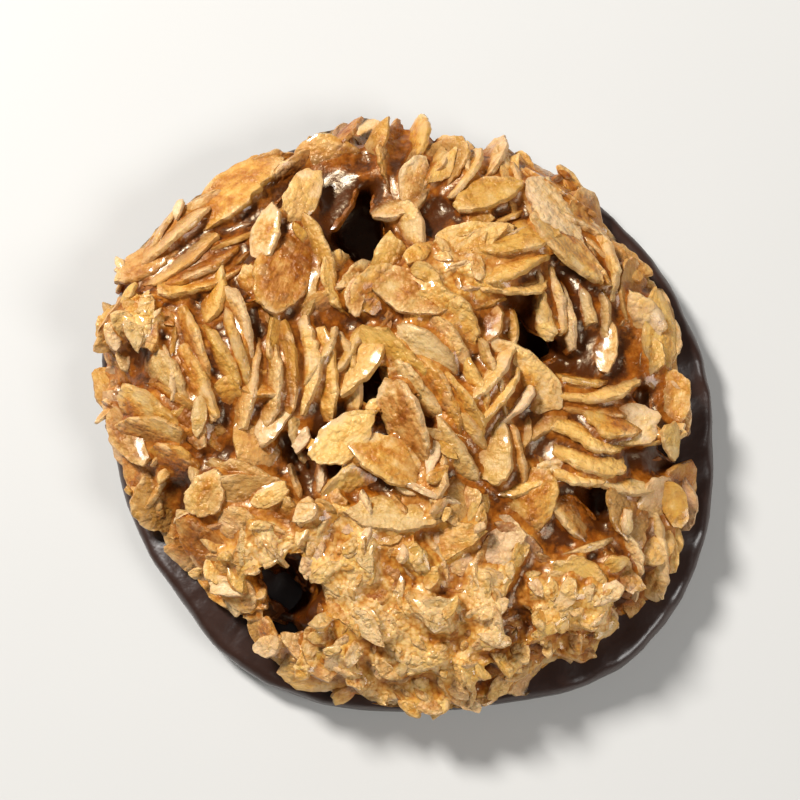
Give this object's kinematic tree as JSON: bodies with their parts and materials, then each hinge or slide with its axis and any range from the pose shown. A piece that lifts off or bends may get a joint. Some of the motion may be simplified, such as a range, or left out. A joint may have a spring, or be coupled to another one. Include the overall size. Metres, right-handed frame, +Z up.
{
  "type": "florentine cookie",
  "caption": "Round florentine biscuit: an uneven dome of caramelised flaked almonds set in a thin dark chocolate base with a wavy lip.",
  "frame": {"origin": "centre of the flat chocolate underside, on the surface that the cookie rests on", "axes": "+Z up out of the almond side; +Y is the top of the cookie as it is seen from above, +X its right"},
  "size_m": [0.0673, 0.0653, 0.0152],
  "materials": {
    "caramelised_almond": "golden caramelised almond flakes, glossy",
    "caramel": "amber caramel between the flakes, glossy",
    "dark_chocolate": "set dark chocolate, satin"
  },
  "bodies": {
    "root": {"almond_mass": "caramelised_almond", "chocolate_base": "dark_chocolate"}
  },
  "joints": []
}
